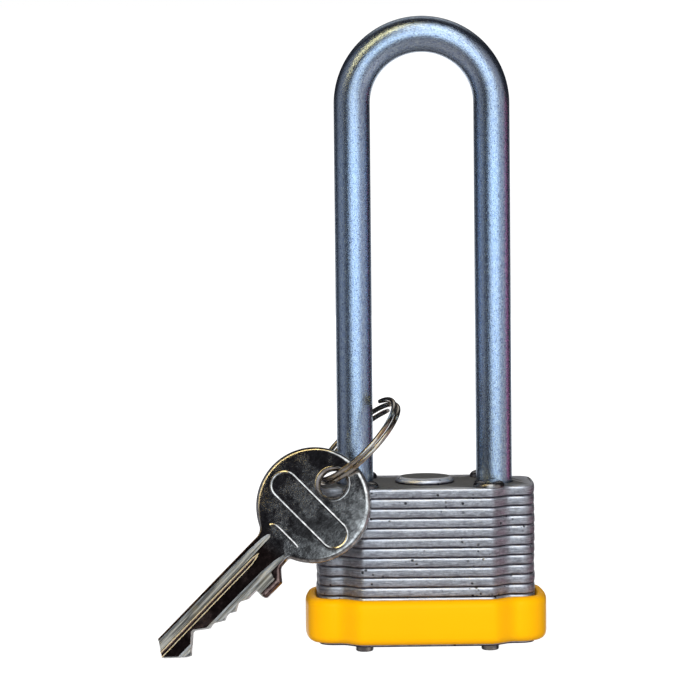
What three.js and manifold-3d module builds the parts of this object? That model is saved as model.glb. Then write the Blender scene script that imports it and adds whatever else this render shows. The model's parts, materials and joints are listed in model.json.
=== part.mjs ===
// Laminated-steel safety padlock with a long shackle, a vinyl bumper, and its key on a split ring.
// Millimetres. +Z runs up along the shackle, X across its two legs, and the front faces -Y.
// The origin is the middle of the cylinder plug's face, level with the underside of the body.
//
// At rest the shackle is closed and the plug stands at its unlocked quarter turn, with the two
// lock balls drawn back. Turning the plug back by a quarter turn drives the balls into the legs.

import * as THREE from "three";
import { mergeVertices } from "three/addons/utils/BufferGeometryUtils.js";
import Module from "manifold-3d";

const wasm = await Module();
wasm.setup();

// ---------------------------------------------------------------- driving dimensions

// Stack of steel plates
const PLATE_COUNT = 16;
const PLATE_PITCH = 1.75;
const PLATE_THICK = 1.7;
const BODY_TOP = PLATE_COUNT * PLATE_PITCH;

// Plan outline of a plate
const HALF_WIDTH = 19.5;
const HALF_DEPTH = 11.0;
const FLAT_HALF = 11.1;
const LOBE_START = 14.7;
const LOBE_HALF_DEPTH = 8.2;
const CORNER_R = 2.75;
const END_BULGE = 0.3;

// Shackle
const LEG_X = 12.35;
const LEG_R = 3.2;
const BOW_Z = 95.2;
const SHACKLE_SIDES = 20;
const BOW_STEPS = 18;
const LIFT = 12;
const TOE_END_Z = 17.5;
const HEEL_END_Z = 6.5;
const HEEL_NECK_R = 1.8;
const LEG_HOLE_R = 3.5;
const LIFT_SPRING_R = 2.3;
const LIFT_SPRING_WIRE_R = 0.35;
const LIFT_SPRING_TURNS = 4;

// Double ball locking
const BALL_R = 2.5;
const BALL_Z = 23.6;
const BALL_OPEN_X = 6.5;
const BALL_LOCKED_X = 7.95;
const NOTCH_R = BALL_R + 0.3;
const CHANNEL_HALF = BALL_R + 0.15;
const CAM_LONG = 5.2;
const CAM_SHORT = 3.85;
const CAM_LOW_Z = 21.3;
const CAM_HIGH_Z = 25.9;
const CAM_ROOM_R = 5.6;

// Pin cylinder
const PLUG_R = 4.7;
const PLUG_LENGTH = 19.1;
const BORE_R = 4.95;
const HOUSING_R = 6.0;
const HOUSING_LOW_Z = 1.8;
const HOUSING_HIGH_Z = 19.2;
const CHAMBER_BACK_Y = 9.9;
const CHAMBER_HALF = 2.1;
const PIN_COUNT = 4;
const FIRST_PIN_Z = 3.8;
const PIN_PITCH = 3.05;
const PIN_R = 1.2;
const PIN_HOLE_R = 1.35;
const PIN_CHAMFER = 0.2;
const PIN_CONE = 0.5;
const PIN_HOLE_FLOOR_Y = 0.4;
const DRIVER_LOW_Y = 5.1;
const DRIVER_HIGH_Y = 7.0;
const PIN_SPRING_R = 0.95;
const PIN_SPRING_WIRE_R = 0.15;
const PIN_SPRING_TURNS = 3;
const CAP_HALF = 1.6;
const CAP_LOW_Y = 9.25;
const CAP_LOW_Z = 2.6;
const CAP_HIGH_Z = 15.4;
const TAIL_R = 3.0;
const TAIL_HIGH_Z = 21.15;
const CLIP_GROOVE_LOW_Z = 19.4;
const CLIP_GROOVE_HIGH_Z = 20.1;
const CLIP_GROOVE_DEEP = 0.5;
const CLIP_RIM = 1.6;
const CLIP_BITE = 0.35;
const CLIP_OPEN_ANGLE = 0.9;
const TANG_HALF_X = 1.5;
const TANG_HALF_Y = 0.9;
const TANG_ROOM = 0.2;

// Keyway: a slot with one rib that reaches over the plug's axis
const KEYWAY_LOW_X = -1.5;
const KEYWAY_HIGH_X = 0.8;
const KEYWAY_FLOOR_Y = -2.9;
const RIB_EDGE_X = -0.5;
const RIB_LOW_Y = -0.7;
const RIB_HIGH_Y = 0.9;
const KEYWAY_HIGH_Z = 18.75;

// Pockets above the keyway for the key's tapered tip, as [low y, high y, low z, high z]
const TIP_POCKETS = [
  [-2.25, 1.35, 18.65, 19.35],
  [-1.45, 0.75, 19.25, 20.4],
];

// Rivets and the button on the top plate
const RIVET_X = 11.1;
const RIVET_Y = 7.7;
const RIVET_R = 1.6;
const RIVET_HEAD_R = 2.8;
const RIVET_HEAD_HIGH = 1.1;
const RIVET_TAIL = 1.1;
const RIVET_TAIL_CHAMFER = 0.35;
const BUTTON_R = 5.25;
const BUTTON_HIGH = 1.1;
const BUTTON_SHANK_R = 2.4;

// Room that the plates leave round what passes through them
const SHANK_ROOM = 0.3;
const PLUG_ROOM = 0.3;
const HOUSING_ROOM = 0.3;
const BORE_ROOM = 0.35;
const CHAMBER_ROOM_SIDE = 0.2;
const CHAMBER_ROOM_BACK = 0.15;

// Bumper
const BUMPER_LOW_Z = 0.45;
const BUMPER_HIGH_Z = 8.4;
const BUMPER_WALL = 1.7;
const BUMPER_GAP = 0.25;
const BUMPER_EDGE = 0.9;

// Split ring
const RING_R = 9.45;
const RING_WIRE_RADIAL = 0.85;
const RING_WIRE_AXIAL = 0.78;
const RING_PITCH = 0.86;
const RING_TURNS = 2;
const RING_STEPS = 56;
const RING_START = Math.PI * -0.21;

// Key, in its own frame: X from the bow to the tip, Y towards the cuts
const KEY_THICK = 2.1;
const BOW_R = 10.25;
const KEY_HOLE_X = -5.06;
const KEY_HOLE_R = 2.4;
const KEY_HOLE_EASE = 0.65;
const STOP_X = 17.6;
const STOP_LENGTH = 3.9;
const STOP_RAMP = 1.9;
const STOP_HIGH_Y = 5.6;
const KEY_BACK_Y = -3.2;
const BLADE_HIGH = 6.4;
const CUT_HEIGHTS = [5.7, 5.7, 5.0, 3.4];
const PEAK_HEIGHTS = [6.35, 6.1, 5.2];
const CUT_FLAT = 0.6;

// The key's end beyond its last cut, as [x, height above the back edge]
const TIP_CORNERS = [
  [35.9, 0],
  [37.8, 2.75],
  [35.1, 5.35],
  [33.6, 5.85],
];

// Grooves in the key: the wide one clears the keyway's rib, the narrow one behind it is a ward
const RIB_ROOM = 0.35;
const GROOVE_LEAD = 1;
const RIB_GROOVE_FLOOR_Z = -0.1;
const WARD_LOW = 4.4;
const WARD_HIGH = 4.9;
const WARD_DEEP = 0.35;

// Where the ring leans and the key hangs at rest
const RING_CENTRE = new THREE.Vector3(-11.9, -5.02, 35.7);
const RING_TURN = THREE.MathUtils.degToRad(15.1);
const RING_DIP = THREE.MathUtils.degToRad(46.1);
const KEY_HOLE_AT = new THREE.Vector3(-16.29, -11.08, 28.99);
const KEY_HANG = THREE.MathUtils.degToRad(45.3);
const KEY_LEAN = THREE.MathUtils.degToRad(18.56);
const KEY_PITCH = THREE.MathUtils.degToRad(-1.84);

// Small gap that keeps neighbours apart
const GAP = 0.05;

// ---------------------------------------------------------------- materials

const steel = (color, roughness) => new THREE.MeshStandardMaterial({ color, roughness, metalness: 1 });
const MATERIALS = {
  plate: steel(0x9a9a9c, 0.45),
  shackle: steel(0x8f959c, 0.3),
  rivet: steel(0x77777a, 0.45),
  brass: steel(0xb59a55, 0.35),
  hard: steel(0xb4b6b8, 0.2),
  nickel: steel(0x8d8a84, 0.2),
  spring: steel(0x9c9ea2, 0.3),
  vinyl: new THREE.MeshStandardMaterial({ color: 0xffc400, roughness: 0.35, metalness: 0 }),
};

// ---------------------------------------------------------------- solid helpers

// A geometry as a solid, with shared vertices merged.
function solidOf(geometry) {
  const bare = geometry.clone();
  bare.deleteAttribute("normal");
  bare.deleteAttribute("uv");
  const merged = mergeVertices(bare, 1e-4);
  return new wasm.Manifold(
    new wasm.Mesh({
      numProp: 3,
      vertProperties: merged.attributes.position.array,
      triVerts: new Uint32Array(merged.index.array),
    }),
  );
}

// A solid back as a geometry with flat-shaded faces.
function geometryOf(solid) {
  const mesh = solid.getMesh();
  const geometry = new THREE.BufferGeometry();
  geometry.setAttribute("position", new THREE.BufferAttribute(new Float32Array(mesh.vertProperties), 3));
  geometry.setIndex(new THREE.BufferAttribute(new Uint32Array(mesh.triVerts), 1));
  const flat = geometry.toNonIndexed();
  flat.computeVertexNormals();
  return flat;
}

function cut(geometry, cutters) {
  return geometryOf(cutters.reduce((left, tool) => left.subtract(solidOf(tool)), solidOf(geometry)));
}

function joined(geometries) {
  return geometryOf(geometries.map(solidOf).reduce((whole, piece) => whole.add(piece)));
}

function mesh(name, geometry, material) {
  const made = new THREE.Mesh(geometry, material);
  made.name = name;
  return made;
}

// A prism of a shape between two heights.
function prism(shape, lowZ, highZ, curveSegments = 6) {
  return new THREE.ExtrudeGeometry(shape, {
    depth: highZ - lowZ,
    bevelEnabled: false,
    curveSegments,
  }).translate(0, 0, lowZ);
}

function block(x0, x1, y0, y1, z0, z1) {
  const geometry = new THREE.BoxGeometry(x1 - x0, y1 - y0, z1 - z0);
  return geometry.translate((x0 + x1) / 2, (y0 + y1) / 2, (z0 + z1) / 2);
}

// An upright round bar standing at (x, y).
function bar(radius, lowZ, highZ, sides, x = 0, y = 0) {
  return new THREE.CylinderGeometry(radius, radius, highZ - lowZ, sides)
    .rotateX(Math.PI / 2)
    .translate(x, y, (lowZ + highZ) / 2);
}

// A round bar along Y, at height z.
function barAlongY(radius, y0, y1, sides, x, z) {
  return new THREE.CylinderGeometry(radius, radius, y1 - y0, sides).translate(x, (y0 + y1) / 2, z);
}

// A turned piece: the profile is a list of [radius, height] from the axis back to the axis.
function turned(profile, sides) {
  const points = profile.map(([r, z]) => new THREE.Vector2(r, z));
  return new THREE.LatheGeometry(points, sides).rotateX(Math.PI / 2);
}

// A curve whose steps are even in its own parameter, so that its joints fall on whole steps.
class StepCurve extends THREE.Curve {
  constructor(at) {
    super();
    this.at = at;
  }
  getPoint(t, target = new THREE.Vector3()) {
    return target.copy(this.at(t));
  }
  getUtoTmapping(u) {
    return u;
  }
}

function sweep(shape, at, steps, curveSegments) {
  return new THREE.ExtrudeGeometry(shape, {
    steps,
    curveSegments,
    bevelEnabled: false,
    extrudePath: new StepCurve(at),
  });
}

function roundSection(radius) {
  return new THREE.Shape().absarc(0, 0, radius, 0, 2 * Math.PI);
}

// A coil spring standing on z = low, with its wire's centre line on the radius given.
function coil(radius, wireR, low, high, turns, stepsPerTurn, wireSegments) {
  const rise = high - low - 2 * wireR;
  const at = (t) => {
    const a = 2 * Math.PI * turns * t;
    return new THREE.Vector3(radius * Math.cos(a), radius * Math.sin(a), low + wireR + rise * t);
  };
  return sweep(roundSection(wireR), at, Math.round(turns * stepsPerTurn), wireSegments);
}

// ---------------------------------------------------------------- plates and bumper

// One quadrant of the plan outline, from the front flat's end round to the end's middle.
function outlineQuadrant() {
  const points = [[FLAT_HALF, HALF_DEPTH]];
  const bend = 4;
  for (let i = 1; i <= bend; i++) {
    const t = i / bend;
    const fall = (HALF_DEPTH - LOBE_HALF_DEPTH) * (0.5 - 0.5 * Math.cos(Math.PI * t));
    points.push([FLAT_HALF + (LOBE_START - FLAT_HALF) * t, HALF_DEPTH - fall]);
  }
  const cornerX = HALF_WIDTH - END_BULGE - CORNER_R;
  const cornerY = LOBE_HALF_DEPTH - CORNER_R;
  const corner = 3;
  for (let i = 0; i <= corner; i++) {
    const a = (Math.PI / 2) * (1 - i / corner);
    points.push([cornerX + CORNER_R * Math.cos(a), cornerY + CORNER_R * Math.sin(a)]);
  }
  points.push([HALF_WIDTH - END_BULGE / 4, cornerY / 2]);
  points.push([HALF_WIDTH, 0]);
  return points;
}

// The whole outline, anticlockwise, grown outwards by a distance.
function outline(grow = 0) {
  const quadrant = outlineQuadrant();
  const upper = [...quadrant].reverse();
  const ring = [
    ...upper,
    ...quadrant.map(([x, y]) => [-x, y]).slice(0, -1),
    ...upper.map(([x, y]) => [-x, -y]),
    ...quadrant.map(([x, y]) => [x, -y]).slice(0, -1),
  ];
  const count = ring.length;
  const grown = ring.map(([x, y], i) => {
    const [ax, ay] = ring[(i + count - 1) % count];
    const [bx, by] = ring[(i + 1) % count];
    const before = new THREE.Vector2(y - ay, ax - x).normalize();
    const after = new THREE.Vector2(by - y, x - bx).normalize();
    const normal = before.clone().add(after).normalize();
    const reach = grow / Math.max(normal.dot(after), 0.5);
    return new THREE.Vector2(x + normal.x * reach, y + normal.y * reach);
  });
  return new THREE.Shape(grown);
}

// What passes through a plate decides which holes it has.
function plateCutters(index) {
  const low = index * PLATE_PITCH - 1;
  const high = low + PLATE_THICK + 2;
  const middle = index * PLATE_PITCH + PLATE_THICK / 2;
  const cutters = [];
  for (const x of [-RIVET_X, RIVET_X])
    for (const y of [-RIVET_Y, RIVET_Y]) cutters.push(bar(RIVET_R + SHANK_ROOM, low, high, 8, x, y));
  if (middle > TOE_END_Z - 2) cutters.push(bar(LEG_HOLE_R, low, high, 14, -LEG_X));
  if (index > 0) cutters.push(bar(LEG_HOLE_R, low, high, 14, LEG_X));
  if (index === 0) cutters.push(bar(PLUG_R + PLUG_ROOM, low, high, 20));
  if (index > 0 && middle < HOUSING_HIGH_Z) {
    const side = CHAMBER_HALF + CHAMBER_ROOM_SIDE;
    cutters.push(bar(HOUSING_R + HOUSING_ROOM, low, high, 20));
    cutters.push(block(-side, side, 0, CHAMBER_BACK_Y + CHAMBER_ROOM_BACK, low, high));
  }
  if (middle > HOUSING_HIGH_Z && middle < CAM_LOW_Z) cutters.push(bar(BORE_R + BORE_ROOM, low, high, 16));
  if (middle > CAM_LOW_Z && middle < CAM_HIGH_Z) {
    cutters.push(bar(CAM_ROOM_R, low, high, 20));
    cutters.push(block(-LEG_X, LEG_X, -CHANNEL_HALF, CHANNEL_HALF, low, high));
  }
  if (index === PLATE_COUNT - 1) cutters.push(bar(BUTTON_SHANK_R + SHANK_ROOM, low, high, 12));
  return cutters;
}

function plate(index) {
  const lowZ = index * PLATE_PITCH;
  const name = `plate_${String(index + 1).padStart(2, "0")}`;
  const blank = prism(outline(), lowZ, lowZ + PLATE_THICK);
  return mesh(name, cut(blank, plateCutters(index)), MATERIALS.plate);
}

function bumper() {
  const grow = BUMPER_GAP + BUMPER_WALL - BUMPER_EDGE;
  const sleeve = new THREE.ExtrudeGeometry(outline(grow), {
    depth: BUMPER_HIGH_Z - BUMPER_LOW_Z - 2 * BUMPER_EDGE,
    bevelEnabled: true,
    bevelThickness: BUMPER_EDGE,
    bevelSize: BUMPER_EDGE,
    bevelSegments: 2,
  }).translate(0, 0, BUMPER_LOW_Z + BUMPER_EDGE);
  const hollow = prism(outline(BUMPER_GAP), BUMPER_LOW_Z - 1, BUMPER_HIGH_Z + 1);
  return mesh("bumper", cut(sleeve, [hollow]), MATERIALS.vinyl);
}

// ---------------------------------------------------------------- fasteners

function rivet(name, x, y) {
  const head = BODY_TOP + RIVET_HEAD_HIGH;
  const profile = [
    [0, -RIVET_TAIL],
    [RIVET_R - RIVET_TAIL_CHAMFER, -RIVET_TAIL],
    [RIVET_R, -RIVET_TAIL + RIVET_TAIL_CHAMFER],
    [RIVET_R, BODY_TOP],
    [RIVET_HEAD_R, BODY_TOP],
    [RIVET_HEAD_R, BODY_TOP + 0.2],
    [RIVET_HEAD_R * 0.8, head - 0.3],
    [RIVET_HEAD_R * 0.4, head],
    [0, head],
  ];
  const made = mesh(name, turned(profile, 8), MATERIALS.rivet);
  made.position.set(x, y, 0);
  return made;
}

function topButton() {
  const high = BODY_TOP + BUTTON_HIGH;
  const low = BODY_TOP - PLATE_PITCH + 2 * GAP;
  const profile = [
    [0, low],
    [BUTTON_SHANK_R, low],
    [BUTTON_SHANK_R, BODY_TOP],
    [BUTTON_R, BODY_TOP],
    [BUTTON_R, BODY_TOP + 0.3],
    [BUTTON_R - 0.5, high - 0.25],
    [BUTTON_R - 1.4, high],
    [0, high],
  ];
  return mesh("top_button", turned(profile, 20), MATERIALS.plate);
}

// ---------------------------------------------------------------- shackle

// The bar's centre line: up the toe leg, over the bow and down the heel leg.
function shackleLine(t) {
  const steps = BOW_STEPS + 2;
  const s = t * steps;
  if (s < 1) return new THREE.Vector3(-LEG_X, 0, TOE_END_Z + (BOW_Z - TOE_END_Z) * s);
  if (s > steps - 1) return new THREE.Vector3(LEG_X, 0, HEEL_END_Z + (BOW_Z - HEEL_END_Z) * (steps - s));
  const a = Math.PI * (1 - (s - 1) / BOW_STEPS);
  return new THREE.Vector3(LEG_X * Math.cos(a), 0, BOW_Z + LEG_X * Math.sin(a));
}

function shackle() {
  const whole = sweep(roundSection(LEG_R), shackleLine, BOW_STEPS + 2, SHACKLE_SIDES / 2);
  const notches = [-1, 1].map((side) => barAlongY(NOTCH_R, -5, 5, 16, side * BALL_LOCKED_X, BALL_Z));
  const neckZ = BALL_Z - LIFT;
  const collar = turned(
    [
      [HEEL_NECK_R, neckZ - NOTCH_R],
      [LEG_R + 1, neckZ - NOTCH_R],
      [LEG_R + 1, neckZ + NOTCH_R],
      [HEEL_NECK_R, neckZ + NOTCH_R],
      [HEEL_NECK_R, neckZ - NOTCH_R],
    ],
    16,
  ).translate(LEG_X, 0, 0);
  return mesh("shackle", cut(whole, [...notches, collar]), MATERIALS.shackle);
}

function shackleSpring() {
  const low = PLATE_PITCH + GAP;
  const high = HEEL_END_Z - GAP;
  const geometry = coil(LIFT_SPRING_R, LIFT_SPRING_WIRE_R, low, high, LIFT_SPRING_TURNS, 9, 2);
  const made = mesh("shackle_spring", geometry, MATERIALS.spring);
  made.position.x = LEG_X;
  return made;
}

// ---------------------------------------------------------------- pin cylinder

const pinHeights = Array.from({ length: PIN_COUNT }, (_, i) => FIRST_PIN_Z + PIN_PITCH * i);

function cylinderHousing() {
  const round = bar(HOUSING_R, HOUSING_LOW_Z, HOUSING_HIGH_Z, 20);
  const chamber = block(-CHAMBER_HALF, CHAMBER_HALF, 1, CHAMBER_BACK_Y, HOUSING_LOW_Z, HOUSING_HIGH_Z);
  const bore = bar(BORE_R, 0, HOUSING_HIGH_Z + 1, 24);
  const pinHoles = pinHeights.map((z) => barAlongY(PIN_HOLE_R, 3, CHAMBER_BACK_Y + 1, 10, 0, z));
  const side = CAP_HALF + GAP;
  const seatLowY = CAP_LOW_Y - 2 * GAP;
  const capSeat = block(-side, side, seatLowY, CHAMBER_BACK_Y + 1, CAP_LOW_Z - GAP, CAP_HIGH_Z + GAP);
  const housing = cut(joined([round, chamber]), [bore, ...pinHoles, capSeat]);
  return mesh("cylinder_housing", housing, MATERIALS.brass);
}

function pinCap() {
  const strip = block(-CAP_HALF, CAP_HALF, CAP_LOW_Y, CHAMBER_BACK_Y, CAP_LOW_Z, CAP_HIGH_Z);
  return mesh("pin_cap", strip, MATERIALS.brass);
}

// A driver pin and its spring, in the housing behind the shear line.
function driverPin(i) {
  const profile = [
    [0, DRIVER_LOW_Y],
    [PIN_R - PIN_CHAMFER, DRIVER_LOW_Y],
    [PIN_R, DRIVER_LOW_Y + PIN_CHAMFER],
    [PIN_R, DRIVER_HIGH_Y],
    [0, DRIVER_HIGH_Y],
  ];
  const made = mesh(`driver_pin_${i + 1}`, turned(profile, 10), MATERIALS.hard);
  made.rotation.x = -Math.PI / 2;
  made.position.z = pinHeights[i];
  return made;
}

function pinSpring(i) {
  const low = DRIVER_HIGH_Y + GAP;
  const high = CAP_LOW_Y - GAP;
  const geometry = coil(PIN_SPRING_R, PIN_SPRING_WIRE_R, low, high, PIN_SPRING_TURNS, 8, 2);
  const made = mesh(`pin_spring_${i + 1}`, geometry, MATERIALS.spring);
  made.rotation.x = -Math.PI / 2;
  made.position.z = pinHeights[i];
  return made;
}

// A key pin in the plug: its cone stands at the height of the key's cut, its flat end at the shear line.
function keyPin(i) {
  const low = KEYWAY_FLOOR_Y + 4 * GAP + CUT_HEIGHTS[i];
  const high = PLUG_R - 3 * GAP;
  const cone = Math.min(PIN_CONE, (high - low) / 2);
  const profile = [
    [0, low],
    [PIN_CONE, low],
    [PIN_R, low + cone],
    [PIN_R, high],
    [0, high],
  ];
  const made = mesh(`key_pin_${i + 1}`, turned(profile, 10), MATERIALS.brass);
  made.rotation.x = -Math.PI / 2;
  made.position.z = pinHeights[i];
  return made;
}

function plug() {
  const root = PLUG_LENGTH - 1;
  const barrel = bar(PLUG_R, 0, PLUG_LENGTH, 24);
  const tail = bar(TAIL_R, root, TAIL_HIGH_Z, 16);
  const tip = CAM_HIGH_Z - 2 * TANG_ROOM;
  const tang = block(-TANG_HALF_X, TANG_HALF_X, -TANG_HALF_Y, TANG_HALF_Y, root, tip);
  const slotBelow = block(KEYWAY_LOW_X, KEYWAY_HIGH_X, KEYWAY_FLOOR_Y, RIB_LOW_Y, -1, KEYWAY_HIGH_Z);
  const slotAtRib = block(KEYWAY_LOW_X, RIB_EDGE_X, RIB_LOW_Y - GAP, RIB_HIGH_Y + GAP, -1, KEYWAY_HIGH_Z);
  const slotAbove = block(KEYWAY_LOW_X, KEYWAY_HIGH_X, RIB_HIGH_Y, PLUG_R + 1, -1, KEYWAY_HIGH_Z);
  const pockets = TIP_POCKETS.map(([y0, y1, z0, z1]) => block(KEYWAY_LOW_X, KEYWAY_HIGH_X, y0, y1, z0, z1));
  const pinHoles = pinHeights.map((z) => barAlongY(PIN_HOLE_R, PIN_HOLE_FLOOR_Y, PLUG_R + 1, 10, 0, z));
  const groove = turned(
    [
      [TAIL_R - CLIP_GROOVE_DEEP, CLIP_GROOVE_LOW_Z],
      [TAIL_R + 1, CLIP_GROOVE_LOW_Z],
      [TAIL_R + 1, CLIP_GROOVE_HIGH_Z],
      [TAIL_R - CLIP_GROOVE_DEEP, CLIP_GROOVE_HIGH_Z],
      [TAIL_R - CLIP_GROOVE_DEEP, CLIP_GROOVE_LOW_Z],
    ],
    16,
  );
  const cutters = [slotBelow, slotAtRib, slotAbove, ...pockets, ...pinHoles, groove];
  return mesh("plug", cut(joined([barrel, tail, tang]), cutters), MATERIALS.brass);
}

// The open clip behind the housing that holds the plug in.
function plugClip() {
  const from = CLIP_OPEN_ANGLE;
  const to = 2 * Math.PI - CLIP_OPEN_ANGLE;
  const shape = new THREE.Shape();
  shape.absarc(0, 0, TAIL_R + CLIP_RIM, from, to);
  shape.absarc(0, 0, TAIL_R - CLIP_BITE, to, from, true);
  const flat = prism(shape, CLIP_GROOVE_LOW_Z + 2 * GAP, CLIP_GROOVE_HIGH_Z - 2 * GAP, 10);
  return mesh("plug_clip", flat, MATERIALS.spring);
}

function lockCam() {
  const oval = new THREE.Shape().absellipse(0, 0, CAM_LONG, CAM_SHORT, 0, 2 * Math.PI);
  const halfX = TANG_HALF_X + TANG_ROOM;
  const halfY = TANG_HALF_Y + TANG_ROOM;
  const eye = block(-halfX, halfX, -halfY, halfY, CAM_LOW_Z - 1, CAM_HIGH_Z + 1);
  return mesh("lock_cam", cut(prism(oval, CAM_LOW_Z, CAM_HIGH_Z, 14), [eye]), MATERIALS.hard);
}

// Everything that turns with the plug, standing at its unlocked quarter turn.
function plugGroup() {
  const group = new THREE.Group();
  group.add(plug(), plugClip(), lockCam(), ...pinHeights.map((_, i) => keyPin(i)));
  group.rotation.z = Math.PI / 2;
  return group;
}

function lockBall(name, side) {
  const made = mesh(name, new THREE.SphereGeometry(BALL_R, 14, 9), MATERIALS.hard);
  made.rotation.x = Math.PI / 2;
  made.position.set(side * BALL_OPEN_X, 0, BALL_Z);
  return made;
}

// ---------------------------------------------------------------- split ring and key

// Two coils of flat wire side by side. The ring's axis is its own Z.
function splitRing() {
  const w = RING_WIRE_RADIAL / 2;
  const h = RING_WIRE_AXIAL / 2;
  const section = new THREE.Shape([
    new THREE.Vector2(-h, -w),
    new THREE.Vector2(h, -w),
    new THREE.Vector2(h, w),
    new THREE.Vector2(-h, w),
  ]);
  const at = (t) => {
    const a = RING_START + 2 * Math.PI * RING_TURNS * t;
    const rise = RING_PITCH * RING_TURNS * (t - 0.5);
    return new THREE.Vector3(RING_R * Math.cos(a), RING_R * Math.sin(a), rise);
  };
  return mesh("split_ring", sweep(section, at, RING_STEPS, 1), MATERIALS.nickel);
}

// The key's outline: a round bow, a neck with a stop, and the cut blade.
function keyOutline() {
  const at = (x, y) => new THREE.Vector2(x, y);
  const neckTop = KEY_BACK_Y + BLADE_HIGH;
  const points = [];
  const fromAngle = Math.asin(neckTop / BOW_R);
  const toAngle = 2 * Math.PI + Math.asin(KEY_BACK_Y / BOW_R);
  const arcSteps = 36;
  for (let i = 0; i <= arcSteps; i++) {
    const a = fromAngle + ((toAngle - fromAngle) * i) / arcSteps;
    points.push(at(BOW_R * Math.cos(a), BOW_R * Math.sin(a)));
  }
  points.push(...TIP_CORNERS.map(([x, height]) => at(x, KEY_BACK_Y + height)));
  for (let i = PIN_COUNT - 1; i >= 0; i--) {
    const x = STOP_X + pinHeights[i];
    const y = KEY_BACK_Y + CUT_HEIGHTS[i];
    points.push(at(x + CUT_FLAT / 2, y));
    points.push(at(x - CUT_FLAT / 2, y));
    if (i > 0) points.push(at(x - PIN_PITCH / 2, KEY_BACK_Y + PEAK_HEIGHTS[i - 1]));
  }
  points.push(at(STOP_X, neckTop));
  points.push(at(STOP_X, STOP_HIGH_Y));
  points.push(at(STOP_X - STOP_LENGTH, STOP_HIGH_Y));
  points.push(at(STOP_X - STOP_LENGTH - STOP_RAMP, neckTop));
  return new THREE.Shape(points);
}

function key() {
  const half = KEY_THICK / 2;
  const blank = prism(keyOutline(), -half, half);
  const eye = turned(
    [
      [0, -half - 0.1],
      [KEY_HOLE_R + KEY_HOLE_EASE, -half - 0.1],
      [KEY_HOLE_R, -half + KEY_HOLE_EASE],
      [KEY_HOLE_R, half - KEY_HOLE_EASE],
      [KEY_HOLE_R + KEY_HOLE_EASE, half + 0.1],
      [0, half + 0.1],
    ],
    20,
  ).translate(KEY_HOLE_X, 0, 0);
  const start = STOP_X - GROOVE_LEAD;
  const end = TIP_CORNERS[1][0] + GROOVE_LEAD;
  const ribLow = KEY_BACK_Y + RIB_LOW_Y - KEYWAY_FLOOR_Y - RIB_ROOM;
  const ribHigh = ribLow + RIB_HIGH_Y - RIB_LOW_Y + RIB_ROOM;
  const ribGroove = block(start, end, ribLow, ribHigh, RIB_GROOVE_FLOOR_Z, KEY_THICK);
  const wardLow = KEY_BACK_Y + WARD_LOW;
  const wardHigh = KEY_BACK_Y + WARD_HIGH;
  const wardGroove = block(start, end, wardLow, wardHigh, -KEY_THICK, WARD_DEEP - half);
  return mesh("key", cut(blank, [eye, ribGroove, wardGroove]), MATERIALS.nickel);
}

// A frame standing at a point, with its X, Y and Z along three given directions.
function placed(piece, origin, x, y, z) {
  const group = new THREE.Group();
  group.add(piece);
  group.setRotationFromMatrix(new THREE.Matrix4().makeBasis(x, y, z));
  group.position.copy(origin);
  return group;
}

// The ring leans through the toe leg, with its raised edge over the body and its low edge outside.
function leaningRing() {
  const axis = new THREE.Vector3(
    Math.cos(RING_DIP) * Math.cos(RING_TURN),
    Math.cos(RING_DIP) * Math.sin(RING_TURN),
    -Math.sin(RING_DIP),
  );
  const raised = axis.clone().cross(new THREE.Vector3(0, 1, 0)).normalize();
  return placed(splitRing(), RING_CENTRE, raised, axis.clone().cross(raised), axis);
}

// The key hangs from its hole, its blade down and to the left and its cut edge leaning forwards.
function hangingKey() {
  const along = new THREE.Vector3(
    -Math.cos(KEY_HANG) * Math.cos(KEY_PITCH),
    Math.sin(KEY_PITCH),
    -Math.sin(KEY_HANG) * Math.cos(KEY_PITCH),
  );
  const level = new THREE.Vector3(0, -1, 0).addScaledVector(along, along.y).normalize();
  const across = level.clone().cross(along).multiplyScalar(Math.cos(KEY_LEAN));
  across.addScaledVector(level, Math.sin(KEY_LEAN)).normalize();
  const piece = key();
  piece.position.x = -KEY_HOLE_X;
  return placed(piece, KEY_HOLE_AT, along, across, along.clone().cross(across));
}

// ---------------------------------------------------------------- assembly

const padlock = new THREE.Group();
for (let i = 0; i < PLATE_COUNT; i++) padlock.add(plate(i));
padlock.add(bumper());
padlock.add(rivet("rivet_front_left", -RIVET_X, -RIVET_Y));
padlock.add(rivet("rivet_front_right", RIVET_X, -RIVET_Y));
padlock.add(rivet("rivet_back_left", -RIVET_X, RIVET_Y));
padlock.add(rivet("rivet_back_right", RIVET_X, RIVET_Y));
padlock.add(topButton());
padlock.add(shackle());
padlock.add(shackleSpring());
padlock.add(cylinderHousing());
padlock.add(pinCap());
for (let i = 0; i < PIN_COUNT; i++) padlock.add(driverPin(i), pinSpring(i));
padlock.add(plugGroup());
padlock.add(lockBall("lock_ball_left", -1));
padlock.add(lockBall("lock_ball_right", 1));
padlock.add(leaningRing());
padlock.add(hangingKey());

export default padlock;
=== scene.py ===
"""The looks of a long-shackle safety padlock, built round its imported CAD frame.

Shapes are worked out in millimetres and stored in metres. +Z runs up along the shackle,
X across its two legs, and the front of the lock faces -Y.
"""

import json
import math
import random

import bmesh
import bpy
from mathutils import Matrix, Vector
from mathutils import noise as mathnoise


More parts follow.
